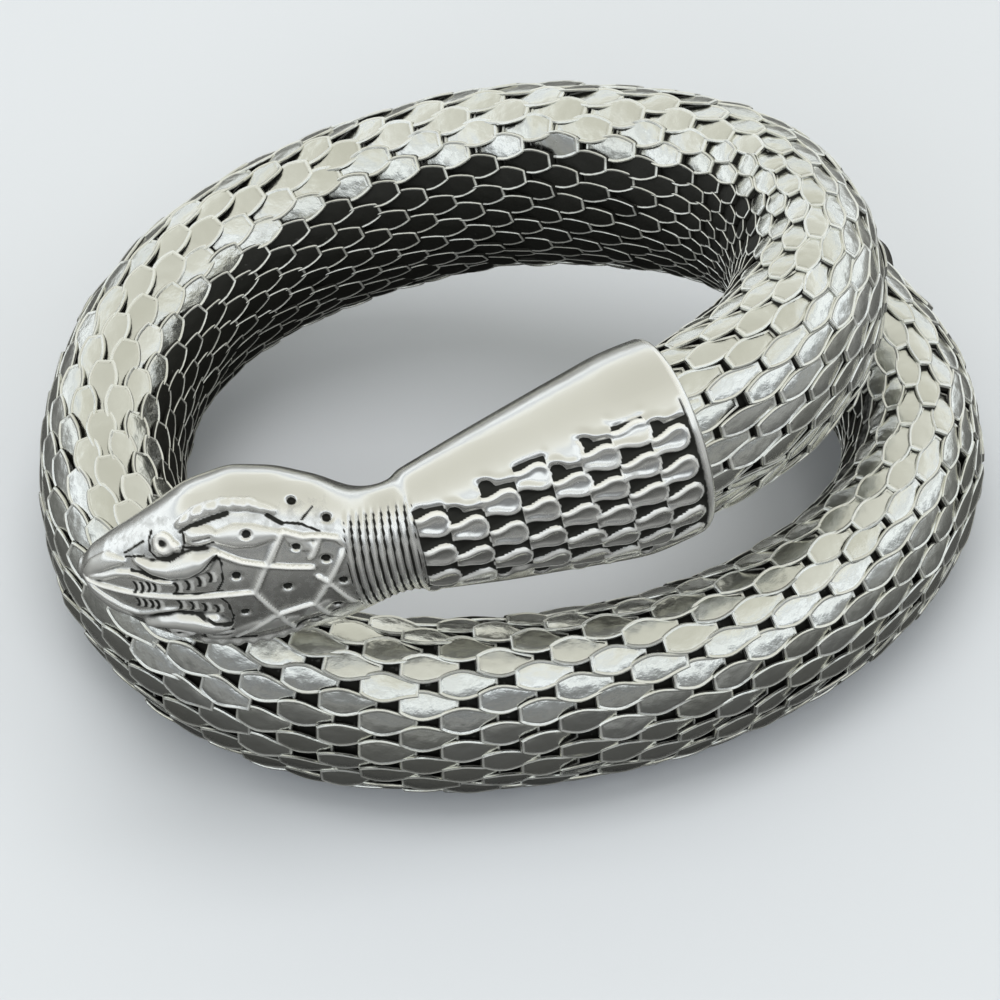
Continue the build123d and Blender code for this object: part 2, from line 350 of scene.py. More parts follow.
bpy.ops.object.select_all(action="DESELECT")
bpy.ops.mesh.primitive_grid_add(x_subdivisions=len(LINK_OUTLINE) - 1, y_subdivisions=1, size=2 * MM)
link = bpy.context.object
bpy.ops.object.mode_set(mode="EDIT")
for number, (at, half) in enumerate(LINK_OUTLINE):
    choose(lambda point: point.index % len(LINK_OUTLINE) == number)
    bpy.ops.transform.resize(value=(1, half, 1))
    bpy.ops.transform.translate(value=((at + 1 - 2 * number / (len(LINK_OUTLINE) - 1)) * MM, 0, 0))
bpy.ops.mesh.select_all(action="SELECT")
push(z=LINK_THICK)
bpy.ops.mesh.inset(thickness=RIM_BEVEL[0] * MM, depth=RIM_BEVEL[1] * MM)
bpy.ops.mesh.inset(thickness=RIM_WIDE * MM, depth=-RIM_FALL * MM)
bpy.ops.mesh.inset(thickness=DOME[0] * MM, depth=DOME[1] * MM)
choose(lambda face: face.normal.x < -0.9, faces=True)
push(x=-TAB_LONG, z=-TAB_DROP)
bpy.ops.mesh.select_all(action="SELECT")
bpy.ops.mesh.normals_make_consistent(inside=False)
bpy.ops.object.mode_set(mode="OBJECT")
link_points = np.array([v.co for v in link.data.vertices]) / MM
link_rims = np.abs(link_points[:, 2] - LINK_THICK - RIM_BEVEL[1]) < 0.001
link_points[:, 2] -= BOW * link_points[:, 0] ** 2
link_faces = sorted(list(f.vertices) for f in link.data.polygons)
bpy.data.objects.remove(link)


def row_angle(row):
    """The angle round the tube of a row and the rows' pitch there, closer on the wrist side."""
    gone, angles = oval_distances(TUBE_TALL, TUBE_DEEP, 0.0)
    crowd = 1 + ROW_CROWDING * np.clip((np.abs(angles) - CROWDED_FROM) / (CROWDED_TO - CROWDED_FROM), 0, 1)
    weighed = np.concatenate([[0], np.cumsum(np.diff(gone) * (crowd[1:] + crowd[:-1]) / 2)])
    share = np.mod(row / LINK_ROWS, 1.0)
    angle = np.interp(share * weighed[-1], weighed, angles)
    return angle, weighed[-1] / LINK_ROWS / np.interp(angle, angles, crowd)


def link_places():
    """Length and angle of every link, with its neighbours' spacing along the row."""
    fine = 0.1
    lengths = np.arange(-INTO_SLEEVE, LENGTHS[np.searchsorted(TURNS, CAP_MOUTH_TURN)] + INTO_CAP, fine)
    spacing = np.interp(lengths, *LINK_SPACING.T)
    number = np.cumsum(fine / spacing)
    places = []
    for row in range(LINK_ROWS):
        wanted = np.arange(number[0] + 0.5 * (row % 2), number[-1], 1.0)
        at = np.interp(wanted, number, lengths)
        turned = row + np.interp(at, *ROW_TURN.T)
        places.append(np.stack([at, *row_angle(turned), np.interp(at, *LINK_SPACING.T)], -1))
    return np.concatenate(places)


def tube_skin(length, angle):
    turn = turn_at(length)
    girth = route_row(turn)[2]
    return oval_skin(turn, angle, girth * TUBE_TALL, girth * TUBE_DEEP)


def lay_links(name, places, chance):
    """One mesh of all the links at the places, each tilted like a shingle."""
    length, angle, pitch, spacing = places.T
    place, normal = tube_skin(length, angle)
    ahead = tube_skin(length + 0.5, angle)[0] - tube_skin(length - 0.5, angle)[0]
    stretch = np.linalg.norm(ahead, axis=1)
    tailward = unit(ahead - normal * np.sum(ahead * normal, 1, keepdims=True))
    sideways = np.cross(normal, tailward)
    step = np.interp(length, *LINK_STEP.T)
    tilt = np.arctan(step / np.maximum(spacing * stretch, LEAST_SPACING))
    tilt = tilt + chance.normal(0, TILT_DRIFT, len(place))
    lean = chance.normal(0, LEAN_DRIFT, len(place))
    x, y, z = link_points.T
    opened = np.clip((spacing * stretch - LINK_GAP) / LINK_REACH - 1, 0, MOST_DRAWN)
    drawn = 1 + np.interp(length, *LINK_PULL.T) * opened
    crowded = np.clip((spacing * stretch + LINK_LAP) / LINK_LONG, SHORTEST_LINK, 1)
    drawn = drawn * (1 - np.interp(length, *LINK_CUT.T) * (1 - crowded))
    x = x[None, :] * drawn[:, None]
    room = pitch * route_row(turn_at(length))[2] / LINK_PITCH
    y = y[None, :] * (room * np.interp(length, *LINK_FILL.T))[:, None]
    along = x * np.cos(tilt)[:, None] + z * np.sin(tilt)[:, None]
    height = z * np.cos(tilt)[:, None] - x * np.sin(tilt)[:, None] + y * np.sin(lean)[:, None] - LINK_SINK
    points = place[:, None] + tailward[:, None] * along[..., None]
    points = points + sideways[:, None] * y[..., None] + normal[:, None] * height[..., None]
    count = len(link_points)
    mesh = bpy.data.meshes.new(name)
    faces = [[v + k * count for v in face] for k in range(len(place)) for face in link_faces]
    mesh.from_pydata(points.reshape(-1, 3) * MM, [], faces)
    tone = mesh.attributes.new("link_tone", "FLOAT", "POINT")
    tone.data.foreach_set("value", np.repeat(chance.random(len(place)), count))
    stain = mesh.attributes.new("link_dark_underside_and_shade", "FLOAT", "POINT")
    # each link is darker towards its underside and turned-down tab, and on the wrist side painted shade covers it all
    # but the near part of its rim
    sunk = np.clip((LINK_THICK * 0.9 - z - BOW * link_points[:, 0] ** 2) / LINK_THICK, 0, 1)
    unshaded_rim = link_rims & (link_points[:, 0] < RIM_UNSHADED_TO)
    wrist_shade = WRIST_SHADE * ramp(np.abs(angle), *WRIST_SIDE)[:, None] * ~unshaded_rim
    stain.data.foreach_set("value", np.maximum(sunk, wrist_shade).ravel())
    rim = mesh.attributes.new("link_rim", "FLOAT", "POINT")
    rim.data.foreach_set("value", np.tile(RIM_SATIN * link_rims, len(place)))
    piece = bpy.data.objects.new(name, mesh)
    bpy.context.collection.objects.link(piece)
    bpy.ops.object.select_all(action="DESELECT")
    piece.select_set(True)
    bpy.context.view_layer.objects.active = piece
    bpy.ops.object.shade_smooth_by_angle(angle=math.radians(FLAT_BELOW))
    return piece


link_silver = silver_material("link_silver", "link_dark_underside_and_shade", "link_rim", bump=0.35, depth=0.14, Clouding=0.45)
nodes, links = link_silver.node_tree.nodes, link_silver.node_tree.links
tone = nodes.new("ShaderNodeAttribute")
tone.attribute_name = "link_tone"
tint = nodes.new("ShaderNodeMix")
tint.data_type = "RGBA"
tint.inputs["A"].default_value, tint.inputs["B"].default_value = LINK_TONES
links.new(tone.outputs["Fac"], tint.inputs["Factor"])
links.new(tint.outputs["Result"], nodes["silver"].inputs["Silver"])

chance = np.random.default_rng(LINK_SEED)
all_places = link_places()
headward = all_places[:, 0] < np.median(all_places[:, 0])
for name, part in (("links_head_half", headward), ("links_tail_half", ~headward)):
    piece = lay_links(name, all_places[part], chance)
    piece.data.materials.append(link_silver)
    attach(piece, "root")
    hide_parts("mesh_body")


# --- Mesh body: a dark wall of painted shade behind the links ---
# Behind each gap, just under the plates, a tube closes the mesh. It is painted black as
# shade, so it reads as one dark wall.
SHADE_WALL_DEPTH = 1.05
SHADE_WALL_PAST = (0.5, 2.0)
SHADE_WALL_ROWS = 260
SHADE_WALL_COLUMNS = 64


def wrap_grid(name, columns, rows, points):
    """A grid whose points are laid round the coil's line, closed into a tube."""
    bpy.ops.object.select_all(action="DESELECT")
    bpy.ops.mesh.primitive_grid_add(x_subdivisions=columns, y_subdivisions=rows, size=1)
    piece = bpy.context.object
    piece.name = name
    piece.data.name = name
    piece.data.vertices.foreach_set("co", (points * MM).ravel())
    piece.data.update()
    return piece


def close_seam(piece):
    """Joins the grid's two long edges and its poles, and turns its faces outwards."""
    bpy.ops.object.select_all(action="DESELECT")
    piece.select_set(True)
    bpy.context.view_layer.objects.active = piece
    bpy.ops.object.mode_set(mode="EDIT")
    bpy.ops.mesh.select_all(action="SELECT")
    bpy.ops.mesh.remove_doubles(threshold=0.00001)
    bpy.ops.mesh.normals_make_consistent(inside=False)
    bpy.ops.object.mode_set(mode="OBJECT")
    bpy.ops.object.shade_smooth()


back_ends = all_places[:, 0].min() - SHADE_WALL_PAST[0], all_places[:, 0].max() + SHADE_WALL_PAST[1]
back_lengths = np.linspace(*back_ends, SHADE_WALL_ROWS + 1)
back_angles = np.linspace(-180, 180, SHADE_WALL_COLUMNS + 1)
back_grid = np.meshgrid(back_lengths, back_angles, indexing="ij")
back_place, back_normal = tube_skin(*back_grid)
back_place = back_place - back_normal * SHADE_WALL_DEPTH
shade_wall = wrap_grid("link_shade_wall", SHADE_WALL_COLUMNS, SHADE_WALL_ROWS, back_place.reshape(-1, 3))
close_seam(shade_wall)
# black painted shade for the wall behind the links
shade_wall_material = silver_material("link_shade_wall_material", None, bump=0.5, Stain=0.75, Clouding=0.5, Polish=0.4)
shade_wall.data.materials.append(shade_wall_material)
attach(shade_wall, "root")
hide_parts("mesh_body")


# --- Snake head: one casting of sleeve, collar and head ---
# Cast in one with its relief, plated, blackened and then polished, so only the raised work and
# the plain wrist side are bright. The mesh is fixed inside the sleeve's flared mouth.
SLEEVE_LONG = 22.6
SLEEVE_WALL = 0.5
SEAT_GAP = 0.15
COLLAR_LONG = 4.2
NECK_WIDE = 10.6
NECK_DEEP = 8.0
HEAD_LONG = 24.0
HEAD_WIDE = 20.0
HEAD_DEEP = 12.4
CAST_LONG = SLEEVE_LONG + COLLAR_LONG + HEAD_LONG
MIDDLE_ANGLE = 13.0
ROWS_ROUNDED = 0.8
FIELD_HALF = 9.4
FIELD_COLUMNS = 192
BACK_COLUMNS = 28
CAST_STEP = 0.122
# share of its length, share of the flare from neck to mouth, lift in mm
SLEEVE = [(-0.033, 1.0, 0.2), (0.07, 1.03, 0.2), (0.18, 1.03, 0.0), (0.45, 0.75, -0.3), (0.72, 0.46, -0.7),
          (1.0, 0.11, -0.95)]
# share of its length, swell as a share of the neck's size, lift in mm
COLLAR = [(0.25, 0.03, -1.0), (0.5, 0.0, -1.0), (0.75, 0.03, -0.8)]
# share of its length, width, depth and set inwards as shares of the head's, lift in mm
HEAD = [(0.0, 0.59, 0.69, -0.03, -0.5), (0.10, 0.76, 0.78, 0.02, -0.2), (0.25, 0.89, 0.88, 0.07, 0.1),
        (0.42, 0.95, 0.95, 0.10, 0.0), (0.60, 0.875, 0.875, 0.08, -0.25), (0.78, 0.60, 0.66, 0.04, -0.4),
        (0.90, 0.37, 0.47, 0.02, -0.1), (0.97, 0.22, 0.31, 0.01, 0.0), (1.0, 0.12, 0.18, 0.0, 0.0)]
MOUTH = SLEEVE[0][0] * SLEEVE_LONG
LIP_RADIUS = 0.25
TIP_RADIUS = 0.6


def casting_rows():
    mouth = np.array([TUBE_TALL, TUBE_DEEP]) * route_row(np.array(MOUTH_TURN))[2] + 2 * (SEAT_GAP + SLEEVE_WALL)
    neck = np.array([NECK_WIDE, NECK_DEEP])
    rows = [(share * SLEEVE_LONG, *(neck + (mouth - neck) * flare), 0.0, lift) for share, flare, lift in SLEEVE]
    rows += [(SLEEVE_LONG + share * COLLAR_LONG, *(neck * (1 + swell)), 0.0, lift) for share, swell, lift in COLLAR]
    start = SLEEVE_LONG + COLLAR_LONG
    rows += [(start + s * HEAD_LONG, w * HEAD_WIDE, d * HEAD_DEEP, i * HEAD_DEEP, lift) for s, w, d, i, lift in HEAD]
    return np.array(rows)


def casting_size(length):
    """Width, depth, set inwards and lift at each length, rounded between the rows of the table."""
    rows = casting_rows()
    fine = np.arange(-8.0, CAST_LONG + 8.0, 0.1)
    bell = np.exp(-((np.arange(-30, 31) * 0.1 / ROWS_ROUNDED) ** 2) / 2)
    sizes = []
    for column in rows.T[1:]:
        straight = np.interp(fine, rows[:, 0], column)
        curved = np.convolve(straight, bell / bell.sum(), mode="same")
        near_tip = np.clip((fine - CAST_LONG + 5.0) / 3.0, 0, 1)
        sizes.append(np.interp(length, fine, curved + (straight - curved) * near_tip))
    return sizes


def line_distance(at, across, points):
    """Distance of each place from a drawn line, and how far along the line it is, 0 to 1."""
    best = np.full(at.shape, 1e9)
    share = np.zeros(at.shape)
    total = len(points) - 1
    for k in range(total):
        (ax, ay), (bx, by) = points[k], points[k + 1]
        t = np.clip(((at - ax) * (bx - ax) + (across - ay) * (by - ay)) / ((bx - ax) ** 2 + (by - ay) ** 2), 0, 1)
        away = np.hypot(at - ax - t * (bx - ax), across - ay - t * (by - ay))
        share = np.where(away < best, (k + t) / total, share)
        best = np.minimum(best, away)
    return best, share


# The sleeve's scales: keyholes with the round end towards the mesh, in staggered rows, standing
# over a blackened ground. Above and below them a plain band runs round the wrist side.
SCALE_TALL = 0.55
SCALE_RIM = 0.12
SCALE_DISH = 0.18
SCALE_SAG = 0.10
SCALE_WALL = 0.30
SCALE_DULL = 0.30
BAND_TALL = 0.30
LIP_TALL = 0.22
# the round pit beside a scale's neck: where it is along the scale, half as long and how far past half a row it goes
PIT_AT = 0.78
PIT_LONG = 0.30
PIT_WIDE = 0.72
# a column each: its round ends' length, how long and how wide a scale is, place and gap of its rows
SCALES = [(20.05, 3.3, 2.45, 0.08, 2.93), (17.1, 3.2, 2.5, -0.91, 2.93), (13.9, 3.4, 2.55, 0.64, 2.95),
          (10.65, 3.4, 2.55, -0.86, 2.95), (7.5, 3.4, 2.45, 0.68, 2.88), (5.0, 3.05, 2.45, -0.35, 2.80),
          (2.45, 2.9, 2.45, 0.80, 2.83), (0.1, 2.7, 2.5, -0.79, 2.84)]
# length from the mouth, half width of the scaled field
SCALE_FIELD = np.array([(0, 7.9), (6, 7.6), (10, 7.0), (14, 6.3), (17, 5.8), (20, 5.15), (23, 4.5)])
# share of a scale's length from its round end, half width as a share of its width
KEYHOLE = np.array([(-0.01, -0.05), (0.0, 0.14), (0.03, 0.27), (0.08, 0.38), (0.16, 0.47), (0.26, 0.51), (0.38, 0.51),
                    (0.50, 0.48), (0.62, 0.42), (0.74, 0.37), (0.86, 0.35), (0.95, 0.36), (1.0, 0.38), (1.01, -0.05)])


def sleeve_relief(at, across):
    edge = np.interp(at, *SCALE_FIELD.T) - np.abs(across)
    field = ramp(edge, -0.15, 0.25) * ramp(at, -0.22, -0.08) * ramp(SLEEVE_LONG + 0.4 - at, 0.0, 0.3)
    band = BAND_TALL * ramp(at, MOUTH, MOUTH + 0.3) * ramp(SLEEVE_LONG + 0.9 - at, 0.0, 1.0)
    lip = LIP_TALL * rounded(at - MOUTH - LIP_RADIUS, 0.3)
    raised = np.zeros(at.shape)
    bright = np.zeros(at.shape)
    tone = np.zeros(at.shape)
    over = np.zeros(at.shape)
    for end, long, wide, place, gap in SCALES:
        # the plain band comes down to the outermost whole bulbs, and round the pit beyond them
        share = (at - end) / long
        reach = np.interp(end + 1.0, *SCALE_FIELD.T)
        bulbs = [place + row * gap for row in range(-4, 5) if abs(place + row * gap) < reach - 0.4 * wide]
        last = np.where(across > 0, max(bulbs), -min(bulbs))
        pit = rounded(share - PIT_AT, PIT_LONG) * (last + 0.5 * gap < reach + 0.3)
        limit = last + np.maximum(0.5 * wide + 0.22, pit * (0.5 * gap + PIT_WIDE))
        here = (share > -0.03) * (share < 0.97)
        over = np.where(here, np.abs(across) - limit, over)
    field *= 1 - ramp(over, -0.1, 0.2)
    for column, (end, long, wide, place, gap) in enumerate(SCALES):
        for row in range(-4, 5):
            side = place + row * gap
            if abs(side) > np.interp(end + long * 0.3, *SCALE_FIELD.T) + 1.0:
                continue
            share = (at - end) / long
            half = np.interp(share, *KEYHOLE.T, left=-1, right=-1) * wide
            ahead = np.interp(share + 0.03, *KEYHOLE.T, left=0, right=0.3) * wide
            behind = np.interp(share - 0.03, *KEYHOLE.T, left=0, right=0.3) * wide
            inside = (half - np.abs(across - side)) / np.hypot(1, (ahead - behind) / (0.06 * long))
            inside = np.where(at > SLEEVE_LONG + 0.1, -1, inside)
            wall = ramp(inside, -0.02, SCALE_WALL)
            rim = SCALE_RIM * np.exp(-(((inside - 0.34) / 0.17) ** 2))
            dish = SCALE_DISH * ramp(inside, 0.36, 0.85)
            sag = SCALE_SAG * math.sin(column * 2.3 + row * 1.7) * (across - side)
            raised = np.where(inside > 0, np.maximum(raised, (SCALE_TALL + sag) * wall + rim - dish), raised)
            bright = np.where(inside > 0, np.exp(-(((inside - 0.30) / 0.17) ** 2)), bright)
            tone = np.where(inside > 0.45, 0.75 + 0.25 * math.sin(column * 4.1 + row * 2.9), tone)
    merging = raised * (1 - field) * ramp(1.3 - over, 0.0, 1.0) * (over > -0.2)
    height = np.maximum.reduce([band * (1 - field), raised * field, merging, lip])
    stain = field * (1 - ramp(np.maximum(raised, lip), 0.12, 0.34))
    bright = np.maximum(bright * ramp(raised, 0.2, 0.4) * field, lip * 3)
    return height, np.maximum(stain, SCALE_DULL * tone * field), bright


# The collar: nine fine rings that fade out towards the plain wrist side.
RIDGE_PITCH = 0.64
RIDGES = 9
RIDGE_START = SLEEVE_LONG + 0.5
RIDGE_TALL = 0.40
RIDGE_HALF = 6.2
RIDGE_SHINE = 0.4


def collar_relief(at, across):
    where = (at - RIDGE_START + 0.02 * across**2) / RIDGE_PITCH
    wave = 0.5 - 0.5 * np.cos(2 * math.pi * where)
    here = ramp(where, 0.0, 0.12) * ramp(RIDGES - where, 0.0, 0.12) * ramp(RIDGE_HALF - np.abs(across), 0.0, 1.8)
    height = here * (RIDGE_TALL * wave**0.8 - 0.10)
    return height, here * ramp(0.40 - wave, 0.0, 0.3)


# The head's relief, read as (length from the mouth, distance from the middle line).
PLATE_LINES = [
    [(50.4, 0.1), (48.0, 0.2), (45.5, 0.2), (42.3, 0.0), (39.0, -0.15), (36.2, -0.33)],
    [(36.2, -0.33), (34.9, 2.2), (33.9, 3.8), (33.1, 5.0)],
    [(36.2, -0.33), (34.9, -3.5), (34.0, -6.4)],
    [(38.4, 4.0), (36.7, 2.95), (34.9, 2.25), (33.2, 1.7), (31.5, 1.35)],
    [(31.4, 2.4), (30.4, 4.1)],
    [(33.1, 5.0), (31.7, 4.3), (30.3, 4.15), (29.1, 3.75), (28.6, 2.95)],
    [(28.6, 2.95), (30.5, -0.3), (31.95, -2.9)],
    [(31.95, -2.9), (34.9, -3.6), (38.5, -6.2)],
    [(31.95, -2.9), (31.2, -4.9)],
    [(31.2, 0.3), (30.5, -0.6), (29.6, -2.4), (28.9, -3.6)],
]
DRILLED = [(35.9, 5.35), (32.3, 3.5), (30.3, 1.95), (37.3, 1.55), (33.65, -0.5), (29.4, -0.65), (37.3, -2.85),
           (30.3, -3.95), (29.5, 5.6), (31.9, 7.5), (32.3, -6.2)]
# on both sides of the middle line: the line with the half width at each point, and its height
SIDE_BULGES = [
    ([(45.2, 3.4), (43.8, 2.9), (42.4, 2.8), (41.0, 3.1), (39.9, 3.5), (38.8, 4.05)],
     (0.3, 0.6, 0.85, 1.05, 1.05, 0.4), 1.15),
    ([(41.3, 6.7), (40.3, 7.35), (39.2, 7.8), (37.4, 8.1), (35.3, 7.8), (33.5, 6.9)],
     (0.3, 0.5, 0.55, 0.5, 0.5, 0.3), 0.55),
    ([(38.3, 5.4), (36.9, 5.3), (35.4, 5.1), (33.6, 4.9)], (0.5, 1.0, 0.95, 0.4), 0.30),
    ([(32.9, 4.6), (32.0, 3.9), (31.0, 3.2)], (0.3, 0.8, 0.4), 0.25),
    ([(49.6, 0.5), (48.3, 1.15), (47.0, 1.85), (45.7, 2.15), (44.6, 1.9), (43.3, 1.5), (42.2, 1.4)],
     (0.2, 0.28, 0.30, 0.26, 0.24, 0.22, 0.15), 0.42),
    ([(50.2, 0.5), (49.3, 1.6), (48.0, 2.6), (46.6, 3.0)], (0.35, 0.6, 0.7, 0.3), 0.35),
]
BROW = 1
# on both sides: the line, the groove's half width and its depth
SIDE_GROOVES = [
    ([(45.7, 2.45), (44.8, 2.35), (43.9, 1.95), (42.4, 1.8), (41.0, 2.0), (39.8, 2.8), (38.5, 3.95)], 0.15, 0.32),
    ([(42.4, 0.33), (40.5, 0.27), (38.6, 0.3)], 0.11, 0.12),
    ([(38.5, 4.0), (38.25, 3.05), (38.4, 1.3), (39.0, 0.3)], 0.12, 0.16),
    ([(41.2, 6.1), (40.4, 6.5), (39.6, 6.72)], 0.20, 0.40),
    ([(39.8, 6.65), (38.6, 7.0), (37.2, 7.3)], 0.30, 0.65),
    ([(34.0, 6.6), (33.0, 5.75)], 0.24, 0.45),
    ([(33.2, 5.85), (31.6, 5.45), (30.3, 4.6)], 0.14, 0.30),
    ([(31.4, 5.8), (30.4, 6.7)], 0.12, 0.3),
    ([(43.8, 6.0), (44.05, 5.2), (43.95, 4.3), (43.4, 3.75), (42.3, 3.65), (41.5, 4.1)], 0.13, 0.30),
    ([(41.2, 4.4), (40.9, 5.2), (40.95, 5.9)], 0.13, 0.28),
    ([(46.3, 3.75), (45.3, 4.55), (44.5, 5.1)], 0.11, 0.2),
    ([(46.2, 3.45), (45.3, 3.7), (44.5, 3.85)], 0.11, 0.2),
    ([(40.9, 4.75), (39.8, 4.7), (38.6, 5.05)], 0.11, 0.2),
]
# the gill bands' ribs and the lip's nicks, at their middles
RIBS = [(42.1, 1.0), (41.15, 1.15), (40.2, 1.45), (39.3, 1.8), (45.5, 0.85), (44.95, 0.9), (44.4, 0.95), (43.9, 0.95)]
# the eye's ring with its half widths, its pupil, the bead behind it, and the leaf-shaped lid with its slit
EYE = (42.75, 5.0)
EYE_RING = (0.62, 0.30)
PUPIL = (42.9, 5.05)
BEAD = (41.85, 4.85)
LID = (39.65, 5.65)
LID_HALVES = (1.35, 0.85)
LID_SLIT = [(40.2, 5.3), (38.8, 5.5)]
METAL_SHINE = 0.35
LINE_RADIUS = 0.20
LINE_TALL = 0.46
HOLE_RADIUS = 0.44
HOLE_DEEP = 0.5
# how far the oxide dulls the flat ground between the head's lines
PLATE_DULL = 0.30


def swelling(at, across, points, radii, tall):
    """A raised form along a line, as wide as its radii say and rounded over."""
    away, share = line_distance(at, across, points)
    radius = np.interp(share * (len(points) - 1), np.arange(len(points)), radii)
    return rounded(away, radius) * tall * np.sqrt(radius / max(radii))


def head_relief(at, across):
    height = np.zeros(at.shape)
    stain = np.zeros(at.shape)
    bright = np.zeros(at.shape)
    for side in (1, -1):
        over = across * side
        for k, (points, radii, tall) in enumerate(SIDE_BULGES):
            bulge = swelling(at, over, points, radii, tall)
            if k == BROW:
                bulge = bulge * (0.75 + 0.25 * np.cos(at * 5.2))
            height = np.maximum(height, bulge)
            bright = np.maximum(bright, METAL_SHINE * ramp(bulge, 0.06, 0.16))
        # the leaf-shaped lid behind the eye, and the eye: a ring with a bead behind it
        leaf = rounded(np.hypot((at - LID[0]) / LID_HALVES[0], (over - LID[1]) / LID_HALVES[1]), 1.0) * 0.5
        ring = rounded(np.hypot(at - EYE[0], over - EYE[1]) - EYE_RING[0], EYE_RING[1]) * 0.42
        bead = rounded(np.hypot(at - BEAD[0], over - BEAD[1]), 0.42) * 0.5
        height = np.maximum.reduce([height, leaf, ring, bead])
        eye_shine = np.maximum(ramp(ring, 0.1, 0.2), ramp(bead, 0.1, 0.2))
        bright = np.maximum.reduce([bright, METAL_SHINE * ramp(leaf, 0.1, 0.2), eye_shine])
        for points, radius, deep in SIDE_GROOVES:
            cut = rounded(line_distance(at, over, points)[0], radius)
            height = height - cut * deep
            stain = np.maximum(stain, 0.8 * ramp(cut, 0.3, 0.8))
        pupil = rounded(np.hypot((at - PUPIL[0]) / 0.30, (over - PUPIL[1]) / 0.36), 1.0)
        slit = rounded(line_distance(at, over, LID_SLIT)[0], 0.14)
        height = height - pupil * 0.45 - slit * 0.2
        stain = np.maximum.reduce([stain, pupil, slit * 0.7])
        for along, out in RIBS:
            bow = np.abs(np.hypot((at - along - 0.75) / 1.0, over - out) - 0.8)
            end = 0.62 - np.abs(over - out)
            arc = rounded(bow, 0.17) * (at < along + 0.4) * ramp(end, 0.0, 0.15)
            rib = rounded(bow - 0.32, 0.16) * (at < along + 0.1) * ramp(end, 0.0, 0.2)
            height = height - arc * 0.26 + rib * 0.10
            stain = np.maximum(stain, 0.9 * arc)
            bright = np.maximum(bright, rib)
    for points in PLATE_LINES:
        line = rounded(line_distance(at, across, points)[0], LINE_RADIUS) * LINE_TALL
        height = np.maximum(height, line)
        bright = np.maximum(bright, ramp(line, 0.03, 0.1))
    for along, out in DRILLED:
        away = np.hypot(at - along, across - out)
        height = height - HOLE_DEEP * ramp(HOLE_RADIUS - away, 0.0, 0.2)
        stain = np.maximum(stain, ramp(HOLE_RADIUS - 0.04 - away, 0.0, 0.1))
    head_start = RIDGE_START + RIDGES * RIDGE_PITCH
    here = ramp(at, head_start - 0.3, head_start + 0.3)
    plates = PLATE_DULL * ramp(9.0 - np.abs(across), 0.0, 2.0) * (1 - ramp(bright, 0.0, 0.3))
    return height * here * ramp(CAST_LONG - at, 0.0, 1.2), np.maximum(stain, plates) * here, bright * here


def soften(field, cells):
    """Blurs a grid of heights by a number of cells both ways."""
    bell = np.exp(-((np.arange(-3 * cells, 3 * cells + 1) / cells) ** 2) / 2)
    bell /= bell.sum()

    def blur(line):
        return np.convolve(np.pad(line, 3 * cells, "edge"), bell, "valid")

    return np.apply_along_axis(blur, 1, np.apply_along_axis(blur, 0, field))


# stations from inside the mouth, round its lip, along the skin and over the snout's tip
inside = [(length, SLEEVE_WALL) for length in (5.0, 3.5, 2.0, 1.0, 0.3, -0.2, -0.45)]
lip = [(MOUTH + LIP_RADIUS * (1 - math.sin(a)), LIP_RADIUS * (1 - math.cos(a)))
       for a in np.radians([150, 120, 90, 60, 30])]
skin = [(length, 0.0) for length in np.arange(MOUTH + LIP_RADIUS, CAST_LONG, CAST_STEP)]
tip = [(CAST_LONG + TIP_RADIUS * math.sin(a), 0.0) for a in np.radians([0, 20, 40, 55, 70, 80, 90])]
stations = np.array(inside + lip + skin + tip)
cast_at = stations[:, 0]
wide, deep, inward, lift = casting_size(np.minimum(cast_at, CAST_LONG))
narrow = rounded(np.maximum(cast_at - CAST_LONG, 0), TIP_RADIUS)
wide, deep = wide * narrow, deep * narrow
columns = FIELD_COLUMNS + BACK_COLUMNS
cast_angle = np.empty((len(stations), columns + 1))
cast_across = np.empty((len(stations), columns + 1))
for k in range(len(stations)):
    gone, angles = oval_distances(max(wide[k], 0.001), max(deep[k], 0.001), MIDDLE_ANGLE, 721)
    half = min(FIELD_HALF, 0.62 * gone[-1])
    back = (gone[-1] - half) * np.arange(1, BACK_COLUMNS // 2 + 1) / (BACK_COLUMNS // 2)
    cast_across[k] = np.concatenate([-half - back[::-1], np.linspace(-half, half, FIELD_COLUMNS + 1), half + back])
    cast_angle[k] = np.interp(cast_across[k], gone, angles)
at_grid = np.repeat(cast_at[:, None], columns + 1, 1)
sleeve_height, sleeve_stain, scale_rims = sleeve_relief(at_grid, cast_across)
collar_height, collar_stain = collar_relief(at_grid, cast_across)
ring_tops = RIDGE_SHINE * ramp(collar_height, 0.15, 0.28)
head_height, head_stain, raised_lines = head_relief(at_grid, cast_across)
outer = (stations[:, 1] == 0)[:, None]
cast_height = soften(sleeve_height * outer, 2) + soften((collar_height + head_height) * outer, 1)
hollows = np.clip((soften(cast_height, 3) - cast_height) * 5.0, 0, 1)
cast_stain = np.clip(np.maximum.reduce([sleeve_stain, collar_stain, head_stain, hollows * 0.8]), 0, 1) * outer
cast_turn = turn_at(-at_grid)
wide, deep = np.maximum(wide, 0.001), np.maximum(deep, 0.001)
sizes = [np.repeat(v[:, None], columns + 1, 1) for v in (wide, deep, inward, lift)]
cast_place, cast_normal = oval_skin(cast_turn, cast_angle, *sizes)
cast_place = cast_place + cast_normal * (cast_height - stations[:, 1][:, None])[..., None]
cast_place[-1] = cast_place[-1].mean(0)
casting = wrap_grid("snake_head_cast", columns, len(stations) - 1, cast_place.reshape(-1, 3))
stain = casting.data.attributes.new("oxide", "FLOAT", "POINT")
stain.data.foreach_set("value", cast_stain.ravel())
worn = casting.data.attributes.new("raised_work", "FLOAT", "POINT")
raised_work = np.maximum.reduce([raised_lines, scale_rims, ring_tops])
worn.data.foreach_set("value", np.clip(raised_work * outer, 0, 1).ravel())
close_seam(casting)
CAST_COLOUR = (0.88, 0.875, 0.84, 1.0)
